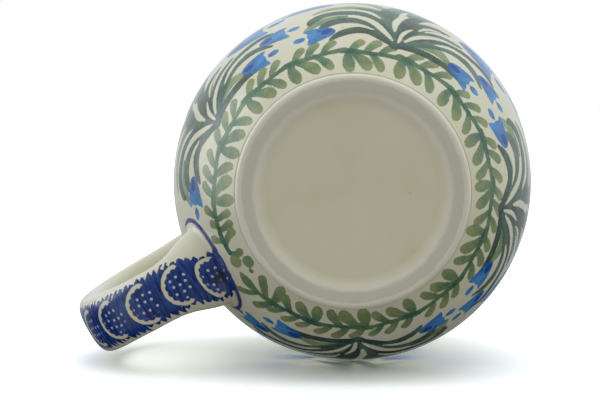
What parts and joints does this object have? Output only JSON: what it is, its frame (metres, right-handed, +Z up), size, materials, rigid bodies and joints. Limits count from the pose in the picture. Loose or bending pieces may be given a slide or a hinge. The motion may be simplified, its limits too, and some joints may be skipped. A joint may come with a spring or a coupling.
{
  "type": "stoneware mug",
  "caption": "Round-bellied glazed stoneware mug with a turned foot ring and one pulled strap handle, hand-stamped with leaves, grass and bell flowers.",
  "frame": {"origin": "on the mug's axis, in the plane that its foot ring stands on; the claim names the middle of the foot's dish, 0.8 mm above that plane", "axes": "+Z up through the mouth, +X from the axis towards the handle"},
  "size_m": [0.1246, 0.092, 0.09],
  "materials": {
    "glazed_body": "clear glossy glaze over cream stoneware, with stamped green and blue underglaze decoration",
    "bare_foot": "bare fired clay on the standing face, wiped clean of glaze",
    "glazed_handle": "clear glossy glaze over cream stoneware, with a navy scale pattern along the outer face"
  },
  "bodies": {
    "root": {"cup_body": "glazed_body", "foot_ring": "bare_foot", "handle": "glazed_handle", "lower_handle_slip": "glazed_handle", "upper_handle_slip": "glazed_handle"}
  },
  "joints": []
}
